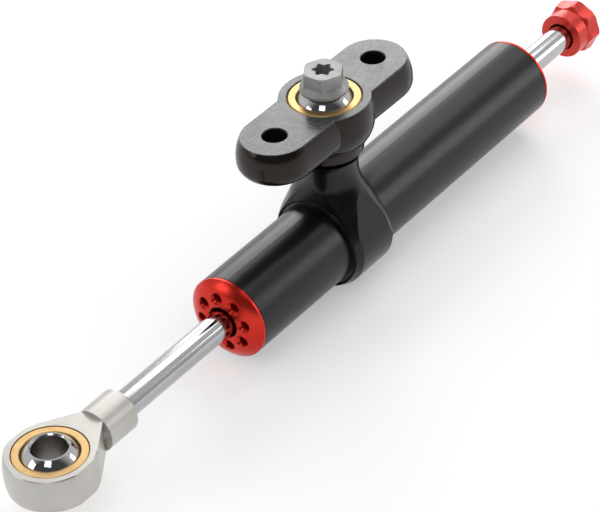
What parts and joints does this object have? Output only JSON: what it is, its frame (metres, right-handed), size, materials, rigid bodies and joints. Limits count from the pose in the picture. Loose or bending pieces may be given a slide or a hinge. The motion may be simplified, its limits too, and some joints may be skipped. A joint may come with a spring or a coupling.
{
  "type": "motorcycle steering damper",
  "caption": "Hydraulic through-rod steering damper hung from a swivelling bracket, with a spherical rod end and a knob that sets the damping.",
  "frame": {"origin": "centre of the two mounting holes on the bracket's flat top face", "axes": "+Z out of the bracket's top face, +X along the damper from the rod end to the adjuster knob"},
  "size_m": [0.3311, 0.0376, 0.0863],
  "materials": {
    "bracket_black": "glossy dark anodised sides, machined pale top face",
    "race_brass": "turned brass, satin",
    "liner_dark": "woven PTFE liner, dull",
    "ball_chrome": "polished hard chrome",
    "screw_zinc": "zinc flake, grainy",
    "collar_black": "black satin anodised",
    "clip_steel": "bright spring steel",
    "tube_black": "black satin anodised",
    "cap_red": "red anodised, turned",
    "rod_chrome": "polished hard chrome",
    "housing_silver": "satin, warm silver",
    "knob_red": "red anodised, satin",
    "seal_rubber": "black nitrile rubber",
    "bush_bronze": "sintered bronze",
    "piston_steel": "machined",
    "ring_plastic": "filled PTFE",
    "shim_steel": "spring steel"
  },
  "bodies": {
    "bracket": {"mount_bracket": "bracket_black"},
    "pivot_race_body": {"pivot_race": "race_brass"},
    "pivot_liner_body": {"pivot_liner": "liner_dark"},
    "barrel": {"pivot_ball": "ball_chrome", "pivot_screw": "screw_zinc", "pivot_collar": "collar_black", "front_snap_ring": "clip_steel", "rear_snap_ring": "clip_steel", "cylinder_tube": "tube_black", "front_cap": "cap_red", "rear_cap": "cap_red", "front_wiper": "seal_rubber", "rear_wiper": "seal_rubber", "front_rod_seal": "seal_rubber", "rear_rod_seal": "seal_rubber", "front_guide_bush": "bush_bronze", "rear_guide_bush": "bush_bronze", "front_cap_o_ring": "seal_rubber", "rear_cap_o_ring": "seal_rubber"},
    "piston_ring_body": {"piston_ring": "ring_plastic"},
    "rod": {"front_rod": "rod_chrome", "rear_rod": "rod_chrome", "piston": "piston_steel", "front_shims": "shim_steel", "rear_shims": "shim_steel", "front_stack_washer": "shim_steel", "rear_stack_washer": "shim_steel", "rod_end_housing": "housing_silver", "knob_clip": "clip_steel"},
    "knob": {"adjuster_knob": "knob_red"},
    "needle": {"adjuster_needle": "shim_steel", "needle_o_ring": "seal_rubber"},
    "end_race_body": {"rod_end_race": "race_brass"},
    "end_liner_body": {"rod_end_liner": "liner_dark"},
    "end_ball_body": {"rod_end_ball": "ball_chrome"}
  },
  "joints": [
    {"name": "pivot_swivel", "type": "hinge", "parent": "bracket", "child": "pivot_race_body", "pos_m": [0, 0, -0.0063], "axis": [0, 0, 1], "continuous": true},
    {"name": "pivot_pitch", "type": "hinge", "parent": "pivot_race_body", "child": "pivot_liner_body", "pos_m": [0, 0, -0.0063], "axis": [0, 1, 0], "range_deg": [-5, 5]},
    {"name": "pivot_roll", "type": "hinge", "parent": "pivot_liner_body", "child": "barrel", "pos_m": [0, 0, -0.0063], "axis": [1, 0, 0], "range_deg": [-5, 5]},
    {"name": "rod_slide", "type": "slide", "parent": "barrel", "child": "piston_ring_body", "axis": [1, 0, 0], "range_m": [-0.03, 0.053]},
    {"name": "rod_spin", "type": "hinge", "parent": "piston_ring_body", "child": "rod", "pos_m": [0, 0, -0.0568], "axis": [1, 0, 0], "continuous": true},
    {"name": "knob_turn", "type": "hinge", "parent": "rod", "child": "knob", "pos_m": [0.155, 0, -0.0568], "axis": [1, 0, 0], "range_deg": [-360, 360]},
    {"name": "needle_travel", "type": "slide", "parent": "knob", "child": "needle", "axis": [1, 0, 0], "range_m": [-0.00075, 0.00075]},
    {"name": "eye_swivel", "type": "hinge", "parent": "rod", "child": "end_race_body", "pos_m": [-0.153, 0, -0.0568], "axis": [0, 0, 1], "continuous": true},
    {"name": "eye_pitch", "type": "hinge", "parent": "end_race_body", "child": "end_liner_body", "pos_m": [-0.153, 0, -0.0568], "axis": [0, 1, 0], "range_deg": [-10, 10]},
    {"name": "eye_roll", "type": "hinge", "parent": "end_liner_body", "child": "end_ball_body", "pos_m": [-0.153, 0, -0.0568], "axis": [1, 0, 0], "range_deg": [-10, 10]}
  ],
  "couplings": [
    {"joint": "needle_travel", "follows": "knob_turn", "m_per_rad": -0.00011937}
  ]
}
